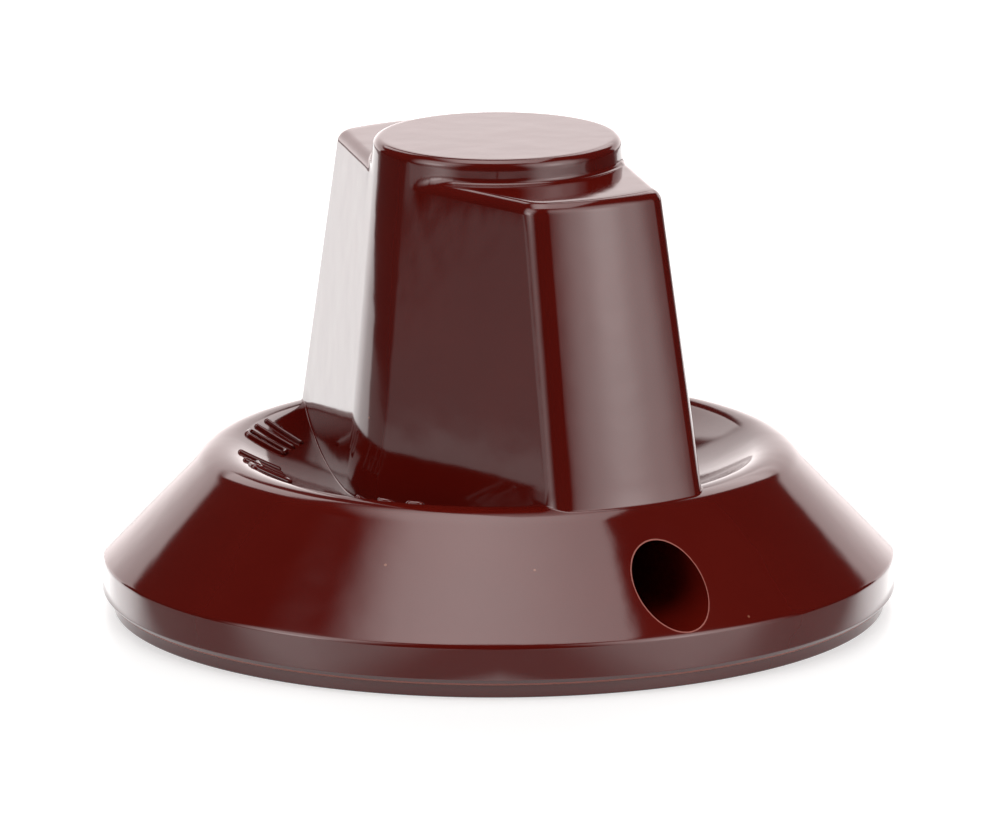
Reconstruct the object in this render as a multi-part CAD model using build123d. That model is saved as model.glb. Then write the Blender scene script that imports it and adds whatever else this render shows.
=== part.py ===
"""Skirted bar-grip control knob for a quarter-inch shaft.

One glossy phenolic moulding carries a moulded-in brass bushing, and a
cup-point set screw in the bushing is reached through a radial tunnel under
the front wing of the grip.

Frame: origin on the shaft's axis at the plane of the foot, +Z up out of the
panel, the front wing and the tunnel towards -Y.  Millimetres and degrees.
"""
from build123d import *
from math import acos, atan2, cos, degrees, hypot, radians, sin, tan
import os

# ---------------------------------------------------------------- skirt
rim_r = 31.75                # outer rim, 63.5 mm across
rim_top_z = 4.25             # where the upright rim band turns into the cone
rim_break = 0.3              # chamfer under the rim, at the mould's parting line
foot_r = 30.9                # foot ring, set back under the rim
foot_h = 1.1                 # height of the foot ring
foot_width = 2.5             # radial width of the face it stands on
crest_r = 21.9               # circle along the top of the skirt
crest_z = 13.0
crest_round = 3.0            # radius of the crest's section
dish_start = 30.0            # slope where the dish leaves the crest
dish_arc_r = 24.0            # radius of the dish's hollow section
skirt_wall = 2.6             # thickness of the cone and of the dish

# ---------------------------------------------------------------- grip
wing_top_z = 36.2            # flat top of both wings
cap_z = 38.1                 # flat top of the round post
cap_break = 0.3              # chamfer round the cap
post_r = 10.04               # radius of the post at wing_top_z
post_draft = 5.3             # slope of the post and of the wings' sides
wing_reach = 17.5            # from the axis to a wing's end at wing_top_z
wing_end_draft = 13.0        # slope of the wings' ends, which are parts of a cone
wing_taper = 15.3            # plan angle of each side face to the bar's axis
wing_corner_round = 1.45
wing_top_round = 0.9
wing_wall = 3.0              # left round the core pocket in the rear wing
pocket_round = 1.2           # upright corners of the core pocket
pocket_top_z = 28.0

# ------------------------------------------------- bushing and its hub
shaft_r = 3.175              # the quarter-inch shaft that the knob is made for
shaft_clearance = 0.025
bore_depth = 16.0
bore_chamfer = 0.4
drill_point = 118.0
bushing_r = 6.35
bushing_z = 1.6              # lower end, held back from the panel
bushing_length = 19.0
notch_z = 12.5               # milled notches each side, filled by the phenolic
notch_height = 2.4
notch_depth = 0.8
hub_wall = 3.15
hub_draft = 2.0
bushing_stand = 0.4          # bushing stands this much out of the hub

# ------------------------------------------ set screw, tunnel and ribs
screw_z = 7.5                # height of the screw's axis
screw_r = 2.083              # number 8 thread
screw_clearance = 0.05
screw_length = 6.35
screw_setback = 0.15         # tip clear of the bore's wall, backed off
screw_chamfer = 0.35
cup_r = 1.1                  # mouth of the cup point
cup_depth = 0.55
socket_flats = 1.98          # 5/64 inch hexagon
socket_depth = 2.6
tunnel_r = 3.0               # access tunnel for the hexagon key
tunnel_wall = 2.2            # U-shaped boss round the tunnel
rib_width = 1.8              # at the ribs' lower edge
rib_draft = 1.0
rib_z = 3.2                  # lower edge of the ribs
rib_angles = (30.0, 150.0, 210.0, 330.0)

# ------------------------------------------------------- derived sizes
margin = 1.0                 # cutting tools run past faces by this much
same_point = 1e-4            # points closer than this are taken as one
upright = 0.9                # least rise of an edge that counts as upright
bore_r = shaft_r + shaft_clearance
tapped_r = screw_r + screw_clearance
hub_r = bushing_r + hub_wall
foot_inner_r = foot_r - foot_width
crest_centre_z = crest_z - crest_round
hub_z = bushing_z + bushing_stand
screw_tip_r = bore_r + screw_setback


def cone_normal():
    """Angle above horizontal of the normal of the skirt's cone.

    The cone is the tangent from the rim's top edge to the crest's section.
    """
    out = rim_r - crest_r
    down = rim_top_z - crest_centre_z
    return degrees(atan2(down, out) + acos(crest_round / hypot(out, down)))


def from_crest(angle, distance):
    """Point of the section at an angle and distance from the crest's centre."""
    return (crest_r + distance * cos(radians(angle)),
            crest_centre_z + distance * sin(radians(angle)))


def dish_point(slope):
    """Point of the dish's hollow arc where the surface has this slope."""
    centre = from_crest(90 + dish_start, crest_round + dish_arc_r)
    return (centre[0] + dish_arc_r * sin(radians(slope)),
            centre[1] - dish_arc_r * cos(radians(slope)))


def grip_root_z():
    """Height inside the skirt's solid down to which post and wings reach."""
    return dish_point(0)[1] - skirt_wall


def corners_of(face, *points):
    """Vertices of a flat face at these (x, y) points."""
    return [vertex for vertex in face.vertices() for x, y in points
            if hypot(vertex.X - x, vertex.Y - y) < same_point]


def turned(face):
    """Solid made by turning a section, drawn as (radius, height), about the axis."""
    return revolve(Plane.XZ * face, Axis.Z)


def skirt_solid():
    """Solid of the skirt's outer form, before its underside is hollowed."""
    normal = cone_normal()
    cone_end = from_crest(normal, crest_round)
    dish_top = from_crest(90 + dish_start, crest_round)
    dish_low = dish_point(0)
    outline = Polyline(
        (0, dish_low[1]), (0, 0), (foot_r, 0), (foot_r, foot_h),
        (rim_r, foot_h), (rim_r, rim_top_z), cone_end,
    )
    crest = ThreePointArc(cone_end, from_crest(90, crest_round), dish_top)
    dish = ThreePointArc(dish_top, dish_point(dish_start / 2), dish_low)
    floor = Line(dish_low, (0, dish_low[1]))
    face = make_face(Curve() + [outline, crest, dish, floor])
    face = chamfer(corners_of(face, (rim_r, foot_h)), rim_break)
    return turned(face)


def post_radius(height):
    """Radius of the drafted post."""
    return post_r + (wing_top_z - height) * tan(radians(post_draft))


def hub_radius(height):
    """Radius of the drafted hub, which widens upwards."""
    return hub_r + (height - hub_z) * tan(radians(hub_draft))


def between_sides(block, inset, inner_wall):
    """Block cut to the rear wing's flat sides, or to walls inside them.

    The sides are tangent to the post; inner_wall faces the shaft.
    """
    lean = tan(radians(post_draft))
    across, along = cos(radians(wing_taper)), sin(radians(wing_taper))
    radius = post_r - inset
    for way in (1, -1):
        side = Plane((way * radius * across, radius * along, wing_top_z),
                     z_dir=(way * across, along, lean))
        block = split(block, bisect_by=side, keep=Keep.BOTTOM)
    return split(block, bisect_by=inner_wall, keep=Keep.TOP)


def upright_edges(solid, beyond):
    """Edges that run up a drafted block, from this reach outwards."""
    return solid.edges().filter_by(
        lambda edge: abs(edge.tangent_at(0.5).Z) > upright and edge.center().Y > beyond)


def rear_wing():
    """Rear wing with a conical end, rounded at its corners and round its top."""
    along = sin(radians(wing_taper))
    end_lean = tan(radians(wing_end_draft))
    height = wing_top_z - grip_root_z()
    cone = Pos(0, 0, grip_root_z()) * Cone(
        wing_reach + height * end_lean, wing_reach, height,
        align=(Align.CENTER, Align.CENTER, Align.MIN))
    tangent_lines = Plane((0, post_r * along, wing_top_z),
                          z_dir=(0, 1, along * tan(radians(post_draft))))
    wing = between_sides(cone, 0, tangent_lines)
    wing = fillet(upright_edges(wing, post_r), wing_corner_round)
    top = wing.edges().filter_by_position(Axis.Z, wing_top_z, wing_top_z)
    return fillet(top.sort_by(Axis.Y)[1:], wing_top_round)


def post_solid():
    """Round drafted post with its flat cap."""
    root = grip_root_z()
    edge = (post_radius(cap_z), cap_z)
    face = make_face(Polyline(
        (0, root), (post_radius(root), root), edge, (0, cap_z), close=True))
    return turned(chamfer(corners_of(face, edge), cap_break))


def cavity_solid():
    """Open space of the underside, between the hub, the ribs and the skirt."""
    normal = radians(cone_normal())
    wall_x, wall_z = skirt_wall * cos(normal), skirt_wall * sin(normal)
    cone_end = from_crest(cone_normal(), crest_round)
    low, high = dish_point(0), dish_point(dish_start)
    lean = atan2(high[1] - low[1], high[0] - low[0])
    drop = skirt_wall / cos(lean)

    def ceiling(radius):
        return low[1] - drop + (radius - low[0]) * tan(lean)

    # Where the sloping ceiling meets the inside of the cone.
    cone_slope = -1 / tan(normal)
    start_x, start_z = cone_end[0] - wall_x, cone_end[1] - wall_z
    corner_r = ((start_z - cone_slope * start_x - low[1] + drop + low[0] * tan(lean))
                / (tan(lean) - cone_slope))
    foot_corner_z = start_z + (foot_inner_r - start_x) * cone_slope
    hub_top_r = hub_radius(ceiling(hub_r))
    cavity = turned(make_face(Polyline(
        (0, -margin), (foot_inner_r, -margin), (foot_inner_r, foot_corner_z),
        (corner_r, ceiling(corner_r)), (hub_top_r, ceiling(hub_top_r)),
        (hub_r, hub_z), (0, hub_z), close=True)))
    for angle in rib_angles:
        cavity -= rib(angle)
    return cavity - tunnel_boss()


def rib(angle):
    """Radial rib that widens upwards by its draft."""
    height = crest_z - rib_z
    top_width = rib_width + 2 * height * tan(radians(rib_draft))
    foot = Rectangle(rim_r, rib_width, align=(Align.MIN, Align.CENTER))
    top = Rectangle(rim_r, top_width, align=(Align.MIN, Align.CENTER))
    blade = loft([Plane.XY.offset(rib_z) * foot, Plane.XY.offset(crest_z) * top])
    return Rot(0, 0, angle) * blade


def along_front(radius, start, end):
    """Cylinder on the set screw's axis between two distances from the shaft."""
    axis = Plane((0, -start, screw_z), x_dir=(1, 0, 0), z_dir=(0, -1, 0))
    return extrude(axis * Circle(radius), end - start)


def tunnel_boss():
    """U-shaped boss that carries the access tunnel from the hub to the cone."""
    radius = tunnel_r + tunnel_wall
    height = crest_z - screw_z
    round_part = along_front(radius, 0, rim_r)
    upright = Pos(0, -rim_r / 2, screw_z + height / 2) * Box(2 * radius, rim_r, height)
    return round_part + upright


def core_pocket():
    """Pocket with flat drafted walls that cores out the rear wing from below."""
    height = pocket_top_z - hub_z
    block = Pos(0, 0, hub_z) * Box(
        2 * rim_r, 2 * rim_r, height, align=(Align.CENTER, Align.CENTER, Align.MIN))
    end = Plane((0, wing_reach - wing_wall, wing_top_z),
                z_dir=(0, 1, tan(radians(wing_end_draft))))
    hub_side = Plane((0, hub_r, hub_z), z_dir=(0, 1, -tan(radians(hub_draft))))
    block = split(block, bisect_by=end, keep=Keep.BOTTOM)
    pocket = between_sides(block, wing_wall, hub_side)
    return fillet(upright_edges(pocket, 0), pocket_round)


def bushing_blank():
    """Bushing's outside: a turned bar with two milled notches that hold it."""
    bar = Pos(0, 0, bushing_z) * Cylinder(
        bushing_r, bushing_length, align=(Align.CENTER, Align.CENTER, Align.MIN))
    for way in (1, -1):
        bar -= Pos(way * bushing_r, 0, notch_z) * Box(
            2 * notch_depth, 2 * bushing_r, notch_height,
            align=(Align.CENTER, Align.CENTER, Align.MIN))
    return bar


def knob_body():
    """The phenolic moulding."""
    wing = rear_wing()
    body = skirt_solid() + post_solid() + wing + Rot(0, 0, 180) * wing
    body -= cavity_solid()
    body -= core_pocket()
    body -= bushing_blank()
    return body - along_front(tunnel_r, 0, rim_r + margin)


def shaft_bushing():
    """Brass bushing: blind bore from below and the set screw's cross hole."""
    point_h = bore_r / tan(radians(drill_point / 2))
    bore_end = bushing_z + bore_depth
    outline = Polyline(
        (0, bushing_z - margin), (bore_r + bore_chamfer + margin, bushing_z - margin),
        (bore_r, bushing_z + bore_chamfer), (bore_r, bore_end), (0, bore_end + point_h),
        close=True)
    bore = turned(make_face(outline))
    return bushing_blank() - bore - along_front(tapped_r, 0, bushing_r + margin)


def set_screw():
    """Cup-point set screw with a hexagon socket, backed off from the shaft."""
    end = screw_tip_r + screw_length
    screw = along_front(screw_r, screw_tip_r, end)
    screw = chamfer(screw.edges().filter_by(GeomType.CIRCLE), screw_chamfer)
    tip = Plane((0, -screw_tip_r, screw_z), x_dir=(1, 0, 0), z_dir=(0, 1, 0))
    cup = tip.offset(-cup_depth / 2) * Cone(0, cup_r, cup_depth)
    head = Plane((0, -end, screw_z), x_dir=(1, 0, 0), z_dir=(0, 1, 0))
    hexagon = RegularPolygon(socket_flats / 2, 6, major_radius=False)
    return screw - cup - extrude(head * hexagon, socket_depth)


def main():
    os.makedirs("parts", exist_ok=True)
    for build in (knob_body, shaft_bushing, set_screw):
        part = build()
        solids = part.solids()
        shape = solids[0] if len(solids) == 1 else Compound(solids)
        export_step(shape, f"parts/{build.__name__}.step")
        print(f"{build.__name__}: {len(solids)} solid(s), {part.volume:.2f} mm3")


main()
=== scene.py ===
"""Looks of the skirted bar-grip control knob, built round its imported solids."""
from math import acos, atan2, cos, degrees, dist, hypot, pi, radians, sin, sqrt, tan

import bmesh
import bpy
from mathutils import Matrix, Quaternion, Vector


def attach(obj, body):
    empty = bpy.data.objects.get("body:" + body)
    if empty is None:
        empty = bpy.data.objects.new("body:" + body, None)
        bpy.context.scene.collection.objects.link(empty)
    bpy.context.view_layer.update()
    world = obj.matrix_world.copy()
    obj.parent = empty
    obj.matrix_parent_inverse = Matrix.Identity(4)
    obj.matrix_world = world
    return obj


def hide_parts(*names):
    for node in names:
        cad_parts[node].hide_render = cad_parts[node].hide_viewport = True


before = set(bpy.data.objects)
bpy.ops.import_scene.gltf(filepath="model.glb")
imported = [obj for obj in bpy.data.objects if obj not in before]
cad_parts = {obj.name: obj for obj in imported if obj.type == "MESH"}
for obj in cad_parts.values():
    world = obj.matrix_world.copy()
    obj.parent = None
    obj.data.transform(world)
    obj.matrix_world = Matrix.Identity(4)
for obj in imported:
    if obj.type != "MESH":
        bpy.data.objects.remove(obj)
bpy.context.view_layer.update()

MM = 0.001
rim_r, rim_top, rim_round = 31.74, 4.25, 0.55
foot_r, foot_h, foot_round, foot_corner = 30.9, 1.1, 0.15, 0.08
crest_r, crest_z, crest_round = 21.9, 13.0, 3.0
dish_start, dish_arc_r, floor_span = 30.0, 24.0, 10
top_z, cap_z, cap_round = 36.2, 38.1, 0.7
post_r, post_draft = 10.04, 5.3
wing_reach, end_draft, wing_taper = 17.7, 13.0, 15.3
corner_round, top_round = 2.2, 1.0
root_round, neck_round = 0.13, 0.36

# Steps inwards and upwards from the band's lower corner: the flash trimmed at
# the mould's parting line, and the line of the chamfer over it.
parting_steps = ((0.47, 0), (0.44, 0.02), (0.38, 0.08))
chamfer_steps, chamfer_round = ((0.3, 0.17), (0, 0.52)), 0.12

side_lean, end_lean = tan(radians(post_draft)), tan(radians(end_draft))
across, along = cos(radians(wing_taper)), sin(radians(wing_taper))
spring_angle = 90 - wing_taper
crest_mid = crest_z - crest_round
cone_normal = degrees(
    atan2(rim_top - crest_mid, rim_r - crest_r)
    + acos(crest_round / hypot(rim_r - crest_r, rim_top - crest_mid)))


def placed(bm, name):
    """Put a bmesh in the scene as a piece."""
    mesh = bpy.data.meshes.new(name)
    bm.to_mesh(mesh)
    bm.free()
    piece = bpy.data.objects.new(name, mesh)
    bpy.context.collection.objects.link(piece)
    return piece


def finished(bm, name):
    """Close a bmesh, turn its faces outwards and put it in the scene."""
    bmesh.ops.remove_doubles(bm, verts=bm.verts[:], dist=2e-7)
    bmesh.ops.dissolve_degenerate(bm, edges=bm.edges[:], dist=1e-7)
    bmesh.ops.recalc_face_normals(bm, faces=bm.faces[:])
    return placed(bm, name)


def turned(section, steps, name):
    """Piece spun from the (r, z) points of a section."""
    bm = bmesh.new()
    chain = [bm.verts.new((r * MM, 0, z * MM)) for r, z in section]
    links = [bm.edges.new(pair) for pair in zip(chain, chain[1:])]
    bmesh.ops.spin(bm, geom=chain + links, cent=(0, 0, 0), axis=(0, 0, 1),
                   angle=2 * pi, steps=steps, use_merge=True, use_duplicate=False)
    return finished(bm, name)


def rod(radius, low, high, steps, name):
    """Plain turned rod between two heights."""
    return turned([(0, low), (radius, low), (radius, high), (0, high)], steps, name)


def block(low, high, name):
    """Plain block between two corners, in millimetres."""
    bm = bmesh.new()
    bmesh.ops.create_cube(bm, size=1)
    for vert in bm.verts:
        vert.co = [(a if side < 0 else b) * MM
                   for a, b, side in zip(low, high, vert.co)]
    return finished(bm, name)


def opened(piece):
    """A piece's mesh as a bmesh, for more work on it."""
    bm = bmesh.new()
    bm.from_mesh(piece.data)
    return bm


def edges_along(bm, axis):
    """Edges that run more than a millimetre along an axis."""
    return [edge for edge in bm.edges
            if abs(edge.verts[0].co[axis] - edge.verts[1].co[axis]) > MM]


def round_edges(bm, edges, size, segments):
    bmesh.ops.bevel(bm, geom=edges, offset=size * MM, affect="EDGES",
                    segments=segments, profile=0.5, material=-1)


def along_front(piece, height):
    """Lay a turned piece down, so that its axis runs forwards at this height."""
    piece.data.transform(Matrix.Translation((0, 0, height * MM))
                         @ Matrix.Rotation(pi / 2, 4, "X"))
    return piece


def worked(piece, tool, operation="DIFFERENCE"):
    """Cut a piece with a tool, or join the two; the tool is used up."""
    step = piece.modifiers.new("work", "BOOLEAN")
    step.operation, step.object, step.solver = operation, tool, "EXACT"
    ready = piece.evaluated_get(bpy.context.evaluated_depsgraph_get())
    mesh = bpy.data.meshes.new_from_object(ready)
    piece.modifiers.clear()
    piece.data = mesh
    bpy.data.objects.remove(tool)
    return piece


def smooth_but_for_edges(piece, sharp=35):
    """Smooth shading that stops at the edges which a hand would feel."""
    for polygon in piece.data.polygons:
        polygon.use_smooth = True
    piece.data.set_sharp_from_angle(angle=radians(sharp))


def arc(start, corner, end, steps):
    """Arc from start to end, tangent to both lines through the corner."""
    start, corner, end = Vector(start), Vector(corner), Vector(end)
    weight = sin((start - corner).angle(end - corner, pi) / 2)
    points = []
    for k in range(steps + 1):
        t = k / steps
        a, b, c = (1 - t) ** 2, 2 * t * (1 - t) * weight, t * t
        points.append(tuple((a * start + b * corner + c * end) / (a + b + c)))
    return points


def rounded(corners, steps=6):
    """Section through (r, z, round) corners, each round drawn as an arc."""
    section = []
    for i, (r, z, size) in enumerate(corners):
        if not size:
            section.append((r, z))
            continue
        here = Vector((r, z))
        back = (Vector(corners[i - 1][:2]) - here).normalized()
        ahead = (Vector(corners[i + 1][:2]) - here).normalized()
        setback = tan(back.angle(ahead) / 2)
        section += arc(here + back * size / setback, here,
                       here + ahead * size / setback, steps)
    return section


def levels(low, high, steps):
    """Heights that climb evenly to high; low itself is left out."""
    return [low + (high - low) * k / steps for k in range(1, steps + 1)]


def crest_point(angle, distance=crest_round):
    """Point at an angle and a distance from the middle of the crest's section."""
    return (crest_r + distance * cos(radians(angle)),
            crest_mid + distance * sin(radians(angle)))


dish_mid = crest_point(90 + dish_start, crest_round + dish_arc_r)


def dial_point(u):
    """Section inwards from the cone: crest for u to 1, dish to 2, floor beyond."""
    if u <= 1:
        return crest_point(cone_normal + u * (90 + dish_start - cone_normal))
    slope = radians(dish_start * max(0, 2 - u))
    return (dish_mid[0] + dish_arc_r * sin(slope) - floor_span * max(0, u - 2),
            dish_mid[1] - dish_arc_r * cos(slope))


def top_inset(height, draft):
    """How far the round of a wing's top has drawn in its drafted wall."""
    if height <= top_z - top_round * (1 - sin(radians(draft))):
        return 0
    rise = (height - top_z + top_round) / top_round
    out = top_round * (sqrt(max(0, 1 - rise * rise))
                       - (1 - sin(radians(draft))) / cos(radians(draft)))
    return (top_z - height) * tan(radians(draft)) - out


def post(height):
    """Radius of the drafted post."""
    return post_r + (top_z - height) * side_lean


def wing(angle, height):
    """Radius of the wing's outline, at an angle from the wing's middle."""
    side_in, end_in = top_inset(height, post_draft), top_inset(height, end_draft)
    reach = wing_reach + (top_z - height) * end_lean - end_in
    side = post(height) - side_in
    turn = corner_round - (side_in + end_in) / 2
    mid_r = reach - turn
    mid_angle = pi / 2 - radians(wing_taper) - acos((side - turn) / mid_r)
    mid_x, mid_y = mid_r * sin(mid_angle), mid_r * cos(mid_angle)
    x, y = sin(radians(angle)), cos(radians(angle))
    if radians(angle) <= mid_angle:
        return reach
    if angle >= degrees(atan2(mid_x + turn * across, mid_y + turn * along)):
        return side / (x * across + y * along)
    inner = mid_x * x + mid_y * y
    return inner + sqrt(max(0, inner * inner - mid_r * mid_r + turn * turn))


def grip(angle, height):
    """Radius of the grip: the wing's where it stands out of the post."""
    if angle >= spring_angle:
        return post(height)
    return max(post(height), wing(angle, height))


def wall_slant(angle, height):
    """Sine of the angle at which a ray from the axis crosses the grip's wall."""
    step = 0.05
    near, far = grip(angle - step, height), grip(angle + step, height)
    return cos(atan2((far - near) / radians(2 * step), (near + far) / 2))


def skirt_rows():
    """Section from the axis out over the foot, round the rim and up the cone."""
    parting, chamfer = ([(rim_r - inwards, foot_h + up) for inwards, up in steps]
                        for steps in (parting_steps, chamfer_steps))
    rows = rounded([(0, 0, 0), (foot_r, 0, foot_round), (foot_r, foot_h, foot_corner),
                    (*parting[0], 0)], 3)
    rows += parting[1:]
    rows += rounded([(*chamfer[0], 0), (*chamfer[1], chamfer_round),
                     (rim_r, rim_top, rim_round), (*dial_point(0), 0)], 6)[1:-1]
    # Rows close to both ends of the cone keep its shading straight.
    cone_start, cone_end = Vector(rows[-1]), Vector(dial_point(0))
    return rows + [tuple(cone_start.lerp(cone_end, share))
                   for share in (0.02, 0.34, 0.67, 0.985)]


def dial_rows(angle, crest_steps=36, root_steps=5, halvings=40):
    """Crest and dish inwards to the grip, and the small round at its root."""
    # Where the dial meets the grip, found by halving the part that holds it.
    low, high = 0.0, 2.3
    for _ in range(halvings):
        u = (low + high) / 2
        r, z = dial_point(u)
        low, high = (u, high) if r > grip(angle, z) else (low, u)
    spread, stride = root_round / wall_slant(angle, z), 0.002
    while dist(dial_point(u), (r, z)) < spread:
        u -= stride
    rows = [dial_point(u * k / crest_steps) for k in range(crest_steps + 1)]
    above = z + root_round
    return rows + arc(rows[-1], (r, z), (grip(angle, above), above), root_steps)[1:]


def wing_top_rows(angle, wall_end, round_steps=14, flat_steps=6, neck_steps=8):
    """Over the wing's top and up the neck under the cap.

    Beside the wings there is no top, and the wall's end is repeated instead.
    """
    path = []
    for k in range(round_steps + 1):
        lean = radians(post_draft + (90 - post_draft) * k / round_steps)
        height = top_z - top_round * (1 - sin(lean))
        path.append((wing(angle, height) if angle < spring_angle else 0, height))
    edge, past_post = path[-1][0], post_r - 0.5
    if edge > post_r:
        path += [(r, top_z) for r in levels(edge, past_post, flat_steps)]

    meet = 0.0
    for k in range(1, len(path)):
        (r0, z0), (r1, z1) = path[k - 1], path[k]
        gap0, gap1 = r0 - post(z0), r1 - post(z1)
        if gap0 >= -1e-9 and gap1 < 0:
            meet = k - 1 + gap0 / (gap0 - gap1)
            break
    count, least_top = round_steps + flat_steps, 0.02
    if meet <= least_top:
        return [wall_end] * (count + neck_steps)

    def along_path(t):
        k = min(int(t), len(path) - 2)
        (r0, z0), (r1, z1) = path[k], path[k + 1]
        return (r0 + (r1 - r0) * (t - k), z0 + (z1 - z0) * (t - k))

    corner, back, stride, least_share = along_path(meet), meet, 0.01, 0.3
    while back > least_share * meet and dist(along_path(back), corner) < neck_round:
        back -= stride
    rows = [along_path(back * k / count) for k in range(1, count + 1)]

    # Where the line of the wing's top meets the line of the post.
    start = Vector(along_path(back))
    ahead = Vector(along_path(min(back + stride, meet))) - start
    up = Vector((-side_lean, 1)).normalized()
    base = Vector((post(corner[1]), corner[1]))
    if abs(ahead.cross(up)) > 1e-6:
        crossing = start + ahead * ((base - start).cross(up) / ahead.cross(up))
    else:
        crossing = (start + base) / 2
    end = crossing + up * (crossing - start).length
    return rows + arc(start, crossing, end, neck_steps)[1:]


def faded(angle, rows):
    """Rows whose wing fades into the wall, close to where it springs from the post.

    What stands out of the post is averaged over some height, more and more
    towards the spring, and over the first few degrees this comes in slowly.
    """
    fade_turn, fade_in, fade_depth = 17, 7, 3
    least_span, most_span, taps = 0.3, 1.0, 6
    spare = spring_angle - angle
    if not 0 < spare < fade_turn:
        return rows
    step = (least_span + (most_span - least_span) * (1 - spare / fade_turn)) / taps
    share = min(1, (fade_turn - spare) / fade_in)
    smooth = []
    for r, z in rows:
        if z > top_z - fade_depth:
            stands_out = sum(
                max(0, wing(angle, z + k * step) - post(z + k * step))
                * (taps + 1 - abs(k))
                for k in range(-taps, taps + 1) if z + k * step < top_z)
            r += (post(z) + stands_out / (taps + 1) ** 2 - r) * share
        smooth.append((r, z))
    return smooth


def column(angle, wall_steps=16, post_steps=4, cap_steps=8):
    """Section of the outside at an angle from the wings' middle, foot to cap."""
    rows = skirt_rows() + dial_rows(angle)
    round_z = top_z - top_round * (1 - sin(radians(post_draft)))
    rows += [(grip(angle, z), z) for z in levels(rows[-1][1], round_z, wall_steps)]
    rows = faded(angle, rows + wing_top_rows(angle, rows[-1]))
    cap_start = cap_z - 1.25 * cap_round
    rows += [(post(z), z) for z in levels(rows[-1][1], cap_start, post_steps)]
    rows += rounded([(post(cap_start), cap_start, 0), (post(cap_z), cap_z, cap_round),
                     (0, cap_z, 0)], cap_steps)[1:-1]
    return rows + [(rows[-1][0] * share, cap_z) for share in (0.97, 0.66, 0.33, 0)]


# A quarter turn of columns, closest together round a wing's corner; the other
# quarters mirror and repeat it.
angles = [start + (end - start) * k / count
          for start, end, count in ((0, 14, 18), (14, 22, 36), (22, 90, 84))
          for k in range(count)] + [90]
quarter = [column(angle) for angle in angles]
turns, columns = [], []
for quadrant in range(4):
    last, mirrored = len(angles) - 1, quadrant % 2
    for k in range(last, 0, -1) if mirrored else range(last):
        turns.append(90 * quadrant + (90 - angles[k] if mirrored else angles[k]))
        columns.append(quarter[k])

# The stand-in section only lays out rows and columns; each point is then
# moved to its own place on the drafted form.
bm = bmesh.new()
row_of = bm.verts.layers.int.new("row")
chain = []
for row in range(len(columns[0])):
    chain.append(bm.verts.new((0, (10 + row / 10) * MM, row * MM)))
    chain[-1][row_of] = row
links = [bm.edges.new(pair) for pair in zip(chain, chain[1:])]
bmesh.ops.spin(bm, geom=chain + links, cent=(0, 0, 0), axis=(0, 0, -1),
               angle=2 * pi, steps=len(columns), use_merge=True, use_duplicate=False)
for vert in bm.verts:
    share = degrees(atan2(vert.co.x, vert.co.y)) % 360 / 360
    k = round(share * len(columns)) % len(columns)
    r, z = columns[k][vert[row_of]]
    turn = radians(turns[k])
    vert.co = (r * sin(turn) * MM, r * cos(turn) * MM, z * MM)
body = finished(bm, "moulded_body")

# Hollow underside: turned, with the four ribs and the tunnel's boss left
# standing.  Tools that cut run past the face they start from.
overrun = 1.0
foot_inner_r, wall = 28.4, 2.6
hub_r, hub_z, hub_draft = 9.5, 2.0, 2.0
screw_z, tunnel_r, boss_r = 7.5, 3.0, 5.2
rib_width, rib_z, rib_draft, rib_round = 1.8, 3.2, 1.0, 0.35
rib_angles = (30, 150, 210, 330)
foot_fillet, ceiling_fillet, hub_fillet, hub_edge = 0.6, 1.3, 1.2, 0.2
dish_low, dish_high = Vector(dial_point(2)), Vector(dial_point(1))
ceiling_lean = atan2(dish_high.y - dish_low.y, dish_high.x - dish_low.x)
cone_out = Vector((cos(radians(cone_normal)), sin(radians(cone_normal))))
inner_cone = Vector(crest_point(cone_normal)) - wall * cone_out
cone_slope = -cone_out.x / cone_out.y


def ceiling(r):
    """Height of the hollow's ceiling, a wall's thickness under the dish."""
    return (dish_low.y - wall / cos(ceiling_lean)
            + (r - dish_low.x) * tan(ceiling_lean))


def inner_side(r):
    """Height of the hollow's side, a wall's thickness inside the cone."""
    return inner_cone.y + (r - inner_cone.x) * cone_slope


def hub(z):
    """Radius of the drafted hub."""
    return hub_r + (z - hub_z) * tan(radians(hub_draft))


corner_r = (inner_side(0) - ceiling(0)) / (tan(ceiling_lean) - cone_slope)
hub_top_r = hub(ceiling(hub_r))
hollow = turned(rounded([
    (0, -overrun, 0), (foot_inner_r, -overrun, 0),
    (foot_inner_r, inner_side(foot_inner_r), foot_fillet),
    (corner_r, ceiling(corner_r), ceiling_fillet),
    (hub_top_r, ceiling(hub_top_r), hub_fillet),
    (hub_r, hub_z, hub_edge), (0, hub_z, 0)]), 180, "hollow")
for angle in rib_angles:
    rib = block((0, -rib_width / 2, rib_z), (rim_r, rib_width / 2, crest_z), "rib")
    bm = opened(rib)
    halfway = (rib_z + crest_z) / 2 * MM
    for vert in bm.verts:
        if vert.co.z > halfway:
            vert.co.y *= 1 + 2 * (crest_z - rib_z) * tan(radians(rib_draft)) / rib_width
    lower = [edge for edge in edges_along(bm, 0) if edge.verts[0].co.z < halfway]
    round_edges(bm, lower, rib_round, 3)
    bmesh.ops.rotate(bm, verts=bm.verts[:], cent=(0, 0, 0),
                     matrix=Matrix.Rotation(radians(angle), 3, "Z"))
    bm.to_mesh(rib.data)
    bm.free()
    worked(hollow, rib)
boss = along_front(rod(boss_r, 0, rim_r, 64, "boss"), screw_z)
boss_top = block((-boss_r, -rim_r, screw_z), (boss_r, 0, crest_z), "boss_top")
worked(boss, boss_top, "UNION")
worked(hollow, boss)
worked(body, hollow)

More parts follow.
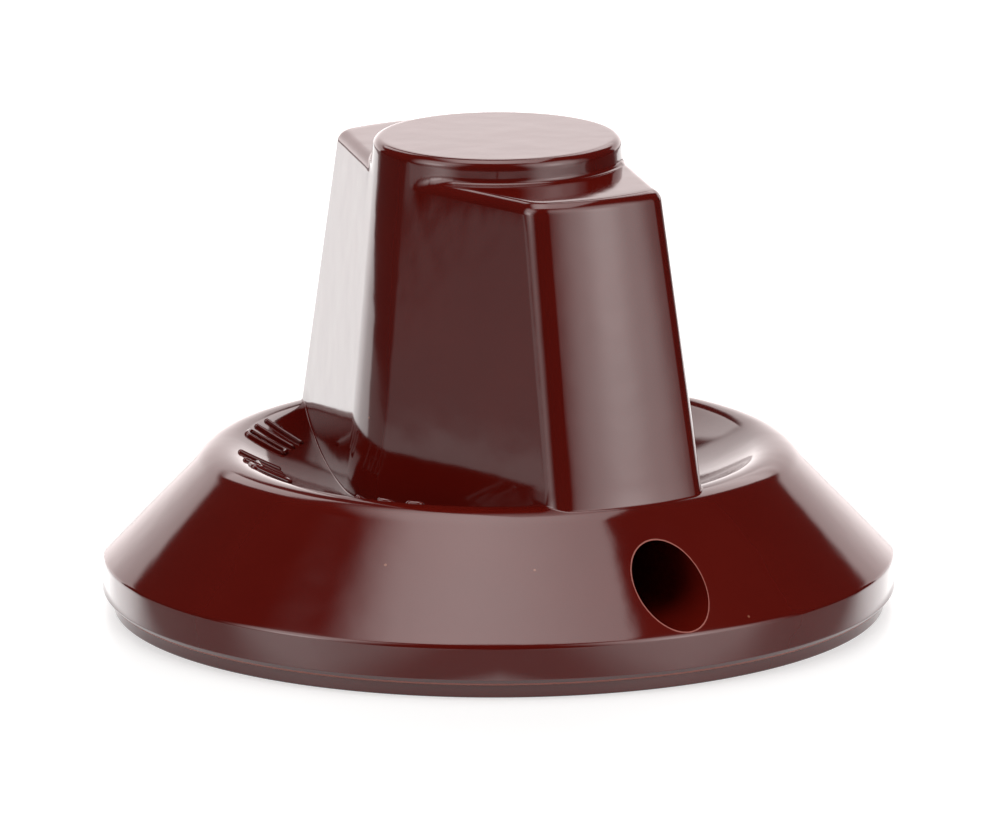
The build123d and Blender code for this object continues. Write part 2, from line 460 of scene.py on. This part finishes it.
# Core pocket in the rear wing, the bushing's seat and the key tunnel.
pocket_inset, pocket_top, pocket_round = 3.0, 28.0, 1.2
pocket = block((-1, 0, hub_z), (1, 1, pocket_top), "pocket")
bm = opened(pocket)
for vert in bm.verts:
    z = vert.co.z / MM
    far_y = wing_reach - pocket_inset + (top_z - z) * end_lean
    y = far_y if vert.co.y > 0.5 * MM else hub(z)
    x = (post(z) - pocket_inset - y * along) / across
    vert.co = (x * MM if vert.co.x > 0 else -x * MM, y * MM, vert.co.z)
round_edges(bm, edges_along(bm, 2), pocket_round, 5)
bm.to_mesh(pocket.data)
bm.free()
worked(body, pocket)
bushing_r, bushing_z, bushing_top = 6.35, 1.6, 20.6
worked(body, rod(bushing_r, -overrun, bushing_top, 96, "seat"))
tunnel_start = 5
tunnel = rod(tunnel_r, tunnel_start, rim_r + overrun, 96, "tunnel")
worked(body, along_front(tunnel, screw_z))
smooth_but_for_edges(body)


# Maroon phenolic, glossy from the polished mould, with a faint orange peel,
# filler specks, and the dull paler cut where flash and drill broke the skin.
def new_material(name):
    """Material with its nodes, its links and its shader."""
    made = bpy.data.materials.new(name)
    made.use_nodes = True
    tree = made.node_tree
    return made, tree.nodes, tree.links, tree.nodes["Principled BSDF"]


def feed(socket, value):
    """Wire a node's output to a socket, or set the socket to a plain value."""
    if hasattr(value, "node"):
        wires.new(value, socket)
    else:
        socket.default_value = value


def maths(operation, *inputs):
    """Math node on values or sockets; returns its result."""
    made = nodes.new("ShaderNodeMath")
    made.operation = operation
    for socket, value in zip(made.inputs, inputs):
        feed(socket, value)
    return made.outputs[0]


def product(first, *others):
    for other in others:
        first = maths("MULTIPLY", first, other)
    return first


def total(first, second):
    return maths("ADD", first, second)


def rest(value):
    """What is left of 1."""
    return maths("SUBTRACT", 1.0, value)


def length(first, second):
    """Length of the vector with these two parts."""
    return maths("SQRT", total(product(first, first), product(second, second)))


def ramp(value, start, end):
    """1 where the value is past end, 0 before start."""
    made = nodes.new("ShaderNodeMapRange")
    made.interpolation_type = "SMOOTHSTEP"
    feed(made.inputs["Value"], value)
    feed(made.inputs["From Min"], start)
    feed(made.inputs["From Max"], end)
    return made.outputs["Result"]


def blend_colour(amount, first, second):
    """Colour mix by a socket's amount; colours are sockets or values."""
    made = nodes.new("ShaderNodeMix")
    made.data_type = "RGBA"
    feed(made.inputs["Factor"], amount)
    for name, value in (("A", first), ("B", second)):
        feed(made.inputs[name], value if hasattr(value, "node") else (*value, 1))
    return made.outputs["Result"]


def in_millimetres():
    """Object coordinates in millimetres, and their three parts."""
    scale = nodes.new("ShaderNodeMapping")
    feed(scale.inputs["Scale"], (1000, 1000, 1000))
    wires.new(nodes.new("ShaderNodeTexCoord").outputs["Object"],
              scale.inputs["Vector"])
    parts = nodes.new("ShaderNodeSeparateXYZ")
    wires.new(scale.outputs[0], parts.inputs[0])
    return scale.outputs[0], parts.outputs


def grain(place, scale, detail=2.0, roughness=0.5):
    """Soft noise over a place, with its bumps 1 / scale millimetres apart."""
    made = nodes.new("ShaderNodeTexNoise")
    feed(made.inputs["Vector"], place)
    feed(made.inputs["Scale"], scale)
    feed(made.inputs["Detail"], detail)
    feed(made.inputs["Roughness"], roughness)
    return made.outputs["Fac"]


def bumped(height, depth):
    """Give the shader a relief; depth is in metres."""
    bump = nodes.new("ShaderNodeBump")
    feed(bump.inputs["Strength"], 1)
    feed(bump.inputs["Distance"], depth)
    feed(bump.inputs["Height"], height)
    feed(shader.inputs["Normal"], bump.outputs[0])


phenolic, nodes, wires, shader = new_material("maroon_phenolic")
feed(shader.inputs["IOR"], 1.6)
place, (x, y, z) = in_millimetres()
wobble = product(maths("SUBTRACT", grain(place, 1.6), 0.5), 0.06)


def raw_strip(value, base, inner, outer):
    """1 in a strip over a base value, clean inside and ragged outside."""
    return product(ramp(value, *(base + edge for edge in inner)),
                   rest(ramp(total(value, wobble), *(base + edge for edge in outer))))


deep_maroon, light_maroon = (0.071, 0.0032, 0.0016), (0.078, 0.0042, 0.0022)
filler_speck, raw_phenolic = (0.30, 0.13, 0.08), (0.25, 0.07, 0.05)
skin_roughness, grain_roughness, raw_roughness = 0.07, 0.03, 0.55
skirt_front, mouth_inner, mouth_outer = -24.0, (0.004, 0.015), (0.07, 0.11)
flash_start, flash_full, flash_low, flash_high = 0.62, 0.5, (-0.02, 0.03), (0.16, 0.22)
peel_depth = 2.2e-5

from_tunnel = length(x, maths("SUBTRACT", z, screw_z))
mouth = product(raw_strip(from_tunnel, tunnel_r, mouth_inner, mouth_outer),
                maths("LESS_THAN", y, skirt_front))
flash = product(raw_strip(z, foot_h, flash_low, flash_high),
                ramp(length(x, y), rim_r - flash_start, rim_r - flash_full))
raw = maths("MAXIMUM", mouth, flash)
speck = nodes.new("ShaderNodeTexVoronoi")
feed(speck.inputs["Vector"], place)
feed(speck.inputs["Scale"], 0.22)
bright_speck = rest(ramp(speck.outputs["Distance"], 0.02, 0.035))
cloud = ramp(grain(place, 0.11, 3.0), 0.3, 0.7)
colour = blend_colour(cloud, deep_maroon, light_maroon)
colour = blend_colour(product(bright_speck, 0.6), colour, filler_speck)
feed(shader.inputs["Base Color"], blend_colour(raw, colour, raw_phenolic))
gloss = total(skin_roughness, product(grain(place, 0.35, 4.0), grain_roughness))
feed(shader.inputs["Roughness"],
     maths("MAXIMUM", gloss, product(raw, raw_roughness)))
bumped(total(grain(place, 0.28, 1.0), product(grain(place, 1.1, 2.0), 0.08)),
       peel_depth)
body.data.materials.append(phenolic)
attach(body, "knob")
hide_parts("knob_body")

# ---------------------------------------------------------------------------
# Dial figures: plain numbers standing proud of the dish as half-round beads.
# They are moulded in one with the knob, from grooves engraved in the mould.
figure_r, figure_height, bead_r, bead_lift = 19.15, 3.0, 0.23, 0.04
scale_values, scale_start, degrees_per_unit = (110, 140, 190), 133.0, 1.05
half_w, half_h = 0.55, figure_height / 2
half_advance = {"0": 1.2, "1": 0.92, "4": 1.2, "9": 1.2}

# Strokes of each figure: whether it is a closed loop, and its guiding points.
figure_strokes = {
    "0": [(True, [(0, half_h), (half_w, half_h), (half_w, 0.8), (half_w, -0.8),
                  (half_w, -half_h), (0, -half_h), (-half_w, -half_h),
                  (-half_w, -0.8), (-half_w, 0.8), (-half_w, half_h)])],
    "1": [(False, [(0, half_h), (0, 0), (0, -half_h)])],
    "4": [(False, [(half_w, half_h), (half_w, 0), (half_w, -half_h)]),
          (False, [(-0.4, half_h), (-0.5, 0.8), (-0.9, -0.3)]),
          (False, [(-0.9, -0.3), (0, -0.3), (0.95, -0.3)])],
    "9": [(True, [(0, half_h), (half_w, half_h), (half_w, 0.9), (half_w, 0), (0, 0),
                  (-half_w, 0), (-half_w, 0.9), (-half_w, half_h)]),
          (False, [(half_w, 0.9), (half_w, -0.6), (half_w - 0.1, -half_h),
                   (-0.3, -half_h)])],
}


def dish_height(r):
    """Height of the dished dial, or of the crest beyond it."""
    if r > crest_point(90 + dish_start)[0]:
        return crest_mid + sqrt(crest_round ** 2 - (r - crest_r) ** 2)
    return dish_mid[1] - sqrt(dish_arc_r ** 2 - (r - dish_mid[0]) ** 2)


def on_dial(turn, aside, up):
    """Place on the dish, from a figure's turn and the offsets in the figure."""
    spot = (Vector((cos(turn), sin(turn))) * (figure_r - up)
            + Vector((-sin(turn), cos(turn))) * aside)
    return (spot.x * MM, spot.y * MM, (dish_height(spot.length) + bead_lift) * MM)


def add_stroke(bm, turn, closed, points):
    """Bead along a stroke of a figure, with a round tip at each open end."""
    line = bpy.data.curves.new("figure_stroke", "CURVE")
    line.dimensions, line.resolution_u = "3D", 10
    line.bevel_depth, line.bevel_resolution = bead_r * MM, 4
    line.use_fill_caps = True
    spline = line.splines.new("NURBS")
    spline.points.add(len(points) - 1)
    spline.order_u = 3
    spline.use_cyclic_u, spline.use_endpoint_u = closed, not closed
    for point, offsets in zip(spline.points, points):
        point.co = (*on_dial(turn, *offsets), 1)
    stroke = bpy.data.objects.new("figure_stroke", line)
    bpy.context.collection.objects.link(stroke)
    ready = stroke.evaluated_get(bpy.context.evaluated_depsgraph_get())
    bm.from_mesh(bpy.data.meshes.new_from_object(ready))
    bpy.data.objects.remove(stroke)
    for offsets in () if closed else (points[0], points[-1]):
        bmesh.ops.create_uvsphere(bm, u_segments=12, v_segments=8, radius=bead_r * MM,
                                  matrix=Matrix.Translation(on_dial(turn, *offsets)))


bm = bmesh.new()
for value in scale_values:
    middle = scale_start + (value - scale_values[0]) * degrees_per_unit
    along_dial = -sum(half_advance[figure] for figure in str(value))
    for figure in str(value):
        along_dial += half_advance[figure]
        for closed, points in figure_strokes[figure]:
            add_stroke(bm, radians(middle) + along_dial / figure_r, closed, points)
        along_dial += half_advance[figure]
dial_figures = placed(bm, "dial_figures")
for polygon in dial_figures.data.polygons:
    polygon.use_smooth = True
dial_figures.data.materials.append(phenolic)
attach(dial_figures, "knob")

# ---------------------------------------------------------------------------
# Shaft bushing: free-machining brass bar, turned, bored from below to a drill
# point, milled with two notches and cross-drilled; the phenolic is moulded on it.
bore_r, bore_depth, drill_point, bore_chamfer = 3.2, 16.0, 118.0, 0.4
seat_gap, top_gap, end_chamfer, tapped_r = 0.01, 0.02, 0.35, 2.133
notch_depth, notch_low, notch_high = 0.8, 12.5, 14.9
bore_end = bushing_z + bore_depth
outer_r, outer_top = bushing_r - seat_gap, bushing_top - top_gap
bushing = turned(rounded([
    (0, bore_end + bore_r / tan(radians(drill_point / 2)), 0), (bore_r, bore_end, 0),
    (bore_r, bushing_z + bore_chamfer, 0.1), (bore_r + bore_chamfer, bushing_z, 0.05),
    (bushing_r - end_chamfer, bushing_z, 0.08), (outer_r, bushing_z + end_chamfer, 0),
    (outer_r, outer_top, 0), (0, outer_top, 0)], 3), 128, "bushing")
for way in (-1, 1):
    near, far = sorted((way * (bushing_r - notch_depth), way * (bushing_r + overrun)))
    worked(bushing, block((near, -bushing_r, notch_low), (far, bushing_r, notch_high),
                          "notch"))
tapped_hole = rod(tapped_r, 0, bushing_r + overrun, 64, "tapped_hole")
worked(bushing, along_front(tapped_hole, screw_z))
smooth_but_for_edges(bushing, 25)

bright_brass, dull_brass = (0.68, 0.46, 0.17), (0.45, 0.28, 0.10)
brass_roughness, tarnish_roughness, tool_mark_depth = 0.22, 0.2, 1.2e-5
brass, nodes, wires, shader = new_material("turned_brass")
feed(shader.inputs["Metallic"], 1)
place, (x, y, z) = in_millimetres()
tarnish = ramp(grain(place, 0.5, 5.0, 0.6), 0.35, 0.75)
feed(shader.inputs["Base Color"], blend_colour(tarnish, bright_brass, dull_brass))
feed(shader.inputs["Roughness"],
     total(brass_roughness, product(tarnish, tarnish_roughness)))
tool_marks = nodes.new("ShaderNodeTexNoise")
tool_marks.noise_dimensions = "1D"
feed(tool_marks.inputs["W"], total(length(x, y), z))
feed(tool_marks.inputs["Scale"], 9)
feed(tool_marks.inputs["Detail"], 3)
bumped(tool_marks.outputs["Fac"], tool_mark_depth)
bushing.data.materials.append(brass)
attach(bushing, "knob")
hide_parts("shaft_bushing")

# ---------------------------------------------------------------------------
# Set screw: number 8 hexagon-socket screw of black-oxide steel with a rolled
# thread and a cup point, screwed into the bushing's side.
screw_r, thread_pitch, thread_depth = 2.07, 0.794, 0.36
screw_tip, screw_length = 3.35, 6.35
turns_of_thread, thread_steps = 11, 48
cup_r, cup_depth, tip_chamfer, head_chamfer = 1.1, 0.6, 0.42, 0.36
socket_flats, socket_depth = 1.98, 2.6

# Each turn of the thread: share of the pitch, and depth under the crest.
thread_section = ((0, thread_depth), (0.1, thread_depth), (0.46, 0), (0.64, 0))
bm = bmesh.new()
chain = [bm.verts.new(((screw_r - depth) * MM, 0,
                       ((k - 1.5) + share) * thread_pitch * MM))
         for k in range(turns_of_thread) for share, depth in thread_section]
links = [bm.edges.new(pair) for pair in zip(chain, chain[1:])]
bmesh.ops.spin(bm, geom=chain + links, cent=(0, 0, 0), axis=(0, 0, 1), angle=2 * pi,
               dvec=(0, 0, thread_pitch * MM / thread_steps), steps=thread_steps,
               use_merge=False, use_duplicate=False)
bmesh.ops.remove_doubles(bm, verts=bm.verts[:], dist=2e-6)
bmesh.ops.holes_fill(bm, edges=[edge for edge in bm.edges if edge.is_boundary], sides=0)
bmesh.ops.triangulate(bm, faces=[face for face in bm.faces if len(face.verts) > 4])
screw = finished(bm, "socket_set_screw")
blank_r = screw_r + 0.02
blank = turned(rounded([
    (0, cup_depth, 0), (cup_r, 0, 0.05), (blank_r - tip_chamfer, 0, 0.03),
    (blank_r, tip_chamfer, 0), (blank_r, screw_length - head_chamfer, 0),
    (blank_r - head_chamfer, screw_length, 0.05), (0, screw_length, 0)], 3),
    64, "screw_blank")
worked(screw, blank, "INTERSECT")
bm = bmesh.new()
socket_middle = Vector((0, 0, screw_length + (overrun - socket_depth) / 2))
bmesh.ops.create_cone(bm, cap_ends=True, segments=6,
                      radius1=socket_flats / sqrt(3) * MM,
                      radius2=socket_flats / sqrt(3) * MM,
                      depth=(socket_depth + overrun) * MM,
                      matrix=Matrix.Translation(socket_middle * MM))
worked(screw, finished(bm, "key_socket"))
along_front(screw, screw_z)
screw.data.transform(Matrix.Translation((0, -screw_tip * MM, 0)))
smooth_but_for_edges(screw, 25)

black_oxide, rubbed_steel = (0.022, 0.023, 0.026), (0.085, 0.083, 0.080)
oxide_roughness, patch_roughness = 0.30, 0.2
oxide, nodes, wires, shader = new_material("black_oxide_steel")
feed(shader.inputs["Metallic"], 0.85)
place, _ = in_millimetres()
rub = ramp(grain(place, 2.2, 5.0, 0.65), 0.5, 0.72)
feed(shader.inputs["Base Color"], blend_colour(rub, black_oxide, rubbed_steel))
feed(shader.inputs["Roughness"],
     total(oxide_roughness, product(grain(place, 6.0, 3.0), patch_roughness)))
screw.data.materials.append(oxide)
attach(screw, "screw")
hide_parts("set_screw")

# ---------------------------------------------------------------------------
# Stage: a wide table of pale laminate, a long tilted bank overhead, soft boxes
# at both sides and behind, and a long lens that looks a little down on the knob.
bearing, camera_lift, distance = radians(-28.0), radians(13.21), 0.8915
viewer = Vector((sin(bearing), -cos(bearing), 0))
right = Vector((cos(bearing), sin(bearing), 0))

table_half, table_drop = 1.6, 0.02 * MM
bm = bmesh.new()
bmesh.ops.create_grid(bm, x_segments=1, y_segments=1, size=table_half,
                      matrix=Matrix.Translation((0, 0, -table_drop)))
table = finished(bm, "table")

# The table shines in camera rays, so that it comes out white but for the soft
# shadow round the foot.  What the knob mirrors is a pale sheet on a dark table,
# with painted light on it: a glow that only glossy and transmission rays see,
# bright behind the knob, weaker by its foot, at its front corners and on its
# left, standing in for light falling on the sheet.  The distances are in
# millimetres from the shaft's axis.
sheet_half_width, sheet_front, sheet_back, sheet_edge = 160.0, 140.0, 1300.0, 2.0
pale_sheet, dark_table = (0.46, 0.495, 0.495), (0.05, 0.05, 0.05)
shadow_white, full_white, shadow_span = 0.55, 1.0, (40.0, 110.0)
rear_glow, rear_fall, rear_fall_span = 1.9, 0.5, (40.0, 90.0)
rear_spread, rear_start, rear_edge = 0.8, (33.0, 35.0), (34.0, 42.0)
foot_glow, foot_span = 0.6, (33.0, 36.0)
corner_glow, corner_aside, corner_ahead = 0.7, (8.0, 22.0), (24.0, 32.0)
left_glow, left_aside, left_ahead = 0.36, (60.0, 100.0), (-14.0, -4.0)

laminate, nodes, wires, shader = new_material("pale_laminate")
feed(shader.inputs["Roughness"], 0.35)
seen = nodes.new("ShaderNodeLightPath").outputs
_, (x, y, z) = in_millimetres()
radius = length(x, y)
ahead = total(product(x, viewer.x), product(y, viewer.y))
aside = total(product(x, right.x), product(y, right.y))
off_middle = maths("ABSOLUTE", aside)
on_sheet = product(
    rest(ramp(off_middle, sheet_half_width, sheet_half_width + sheet_edge)),
    maths("LESS_THAN", ahead, sheet_front), maths("GREATER_THAN", ahead, -sheet_back))
feed(shader.inputs["Base Color"], blend_colour(on_sheet, dark_table, pale_sheet))
# Painted light: patches of glow on the sheet, seen only in reflections.
wedge = total(ahead, product(off_middle, rear_spread))
rear = product(
    ramp(radius, *rear_start), rest(ramp(wedge, *rear_edge)), on_sheet,
    maths("SUBTRACT", rear_glow, product(ramp(radius, *rear_fall_span), rear_fall)))
foot = product(rest(ramp(radius, *foot_span)), foot_glow)
corners = product(ramp(off_middle, *corner_aside), ramp(ahead, *corner_ahead),
                  corner_glow)
left = product(ramp(product(aside, -1.0), *left_aside), ramp(ahead, *left_ahead),
               left_glow)
mirrored_glow = maths("MAXIMUM", rear, maths("MAXIMUM", foot,
                                             maths("MAXIMUM", corners, left)))
seen_glow = total(shadow_white, product(ramp(radius, *shadow_span),
                                        full_white - shadow_white))
# Camera rays see the white lift; glossy and transmission rays see the painted light
# patches.
mirrored = maths("MAXIMUM", seen["Is Glossy Ray"], seen["Is Transmission Ray"])
feed(shader.inputs["Emission Strength"],
     total(product(seen["Is Camera Ray"], seen_glow), product(mirrored, mirrored_glow)))
feed(shader.inputs["Emission Color"], (1, 1, 1, 1))
table.data.materials.append(laminate)

dim_grey = (0.03, 0.03, 0.03, 1)
room = bpy.data.worlds.new("dim_room")
bpy.context.scene.world = room
room.use_nodes = True
feed(room.node_tree.nodes["Background"].inputs["Color"], dim_grey)

knob_middle, cloth_colour = Vector((0, 0, 0.015)), (1.08, 1.0, 0.99)


def soft_box(name, turn, lift, reach, width, height, glow, fade):
    """Soft box seen from the knob at a turn to the right and a lift, in degrees.

    Its cloth glows evenly but for the shares of its size over which it fades,
    at its two sides, its bottom and its top.
    """
    lamp = bpy.data.lights.new(name, "AREA")
    lamp.shape, lamp.size, lamp.size_y = "RECTANGLE", width, height
    lamp.energy = glow * pi * width * height
    lamp.color = cloth_colour
    lamp.use_nodes = True
    cloth = lamp.node_tree
    spot = cloth.nodes.new("ShaderNodeSeparateXYZ")
    cloth.links.new(cloth.nodes.new("ShaderNodeNewGeometry").outputs["Parametric"],
                    spot.inputs[0])
    strength = cloth.nodes["Emission"].inputs["Strength"]
    for side, end, share in zip("XXYY", (0, 1, 0, 1), fade):
        edge = cloth.nodes.new("ShaderNodeMapRange")
        edge.interpolation_type = "SMOOTHSTEP"
        edge.inputs["From Min"].default_value = end
        edge.inputs["From Max"].default_value = abs(end - share)
        cloth.links.new(spot.outputs[side], edge.inputs["Value"])
        both = cloth.nodes.new("ShaderNodeMath")
        both.operation = "MULTIPLY"
        both.inputs[1].default_value = 1
        cloth.links.new(edge.outputs["Result"], both.inputs[0])
        cloth.links.new(both.outputs[0], strength)
        strength = both.inputs[1]
    level_way = viewer * cos(radians(turn)) + right * sin(radians(turn))
    toward = level_way * cos(radians(lift)) + Vector((0, 0, sin(radians(lift))))
    box = bpy.data.objects.new(name, lamp)
    box.location = toward * reach + knob_middle
    box.rotation_euler = toward.to_track_quat("Z", "Y").to_euler()
    box.visible_camera = False
    bpy.context.collection.objects.link(box)
    return box


# The bank hangs behind the knob and tilts towards the viewer; its tubes are a
# second, narrower glow just under its cloth.
bank_tilt, bank_length, bank_width = radians(28), 2.48, 0.96
bank_back, bank_left, bank_z = 0.805, 0.08, 1.33
bank_middle = -viewer * bank_back - right * bank_left + Vector((0, 0, bank_z))
bank_along = -viewer * cos(bank_tilt) + Vector((0, 0, sin(bank_tilt)))
bank_up = viewer * sin(bank_tilt) + Vector((0, 0, cos(bank_tilt)))
bank_turn = Matrix((right, bank_along, bank_up)).transposed().to_euler()
for name, width, drop, glow, fade in (
        ("overhead_bank", bank_width, 0, 2.3, (0.30, 0.04, 0.01, 1.0)),
        ("overhead_tubes", bank_width - 0.1, 0.01, 1.1, (0.5, 0.5, 0.01, 0.9))):
    bank = soft_box(name, 0, 90, 1, width, bank_length, glow, fade)
    bank.rotation_euler = bank_turn
    bank.location = bank_middle - bank_up * drop

# Turn, lift, reach, width, height, glow and fades of each box round the knob.
for name, *settings in (
        ("left_box", -60, 30, 0.75, 0.80, 0.90, 2.7, (0.35, 0.45, 0.25, 0.35)),
        ("left_core", -60, 16, 0.74, 0.34, 0.36, 1.7, (0.4, 0.4, 0.4, 0.4)),
        ("left_foot", -54, -3, 0.73, 0.60, 0.24, 2.3, (0.5, 0.5, 0.3, 0.5)),
        ("right_box", 54, 24, 0.75, 0.92, 1.15, 2.6, (0.35, 0.35, 0.35, 0.35)),
        ("right_core", 54, 19, 0.74, 0.36, 0.44, 1.6, (0.45, 0.45, 0.4, 0.4)),
        ("right_spill", 80, 17, 0.73, 0.38, 0.60, 0.7, (0.4, 0.3, 0.3, 0.3)),
        ("backlight", 180, 12, 0.85, 1.7, 0.46, 1.4, (0.03, 0.03, 0.02, 0.15)),
        ("backlight_foot", 180, 8.5, 0.845, 1.66, 0.35, 0.85, (0.03, 0.03, 0.02, 1.0)),
        ("back_strip", 161, 36, 0.84, 0.36, 0.50, 2.4, (0.12, 0.15, 0.3, 0.3)),
        ("back_edge", -156, 35, 0.84, 0.24, 0.36, 1.9, (0.15, 0.15, 0.14, 0.15)),
        ("front_fill", -10, 10, 0.75, 0.70, 0.30, 1.0, (0.1, 0.1, 0.1, 0.1))):
    box = soft_box(name, *settings)
    box.visible_glossy = name != "front_fill"

aim, roll = Vector((0, 0, 0.016)), radians(-0.18)
back = viewer * cos(camera_lift) + Vector((0, 0, sin(camera_lift)))
lens = bpy.data.cameras.new("camera")
lens.sensor_width, lens.lens = 36, 401.6
lens.shift_x, lens.shift_y = 0.0018, -0.0008
lens.clip_end = 20
camera = bpy.data.objects.new("camera", lens)
camera.location = aim + back * distance
level = back.to_track_quat("Z", "Y")
camera.rotation_euler = (level @ Quaternion((0, 0, 1), roll)).to_euler()
bpy.context.collection.objects.link(camera)
bpy.context.scene.camera = camera
bpy.context.scene.view_settings.view_transform = "Standard"
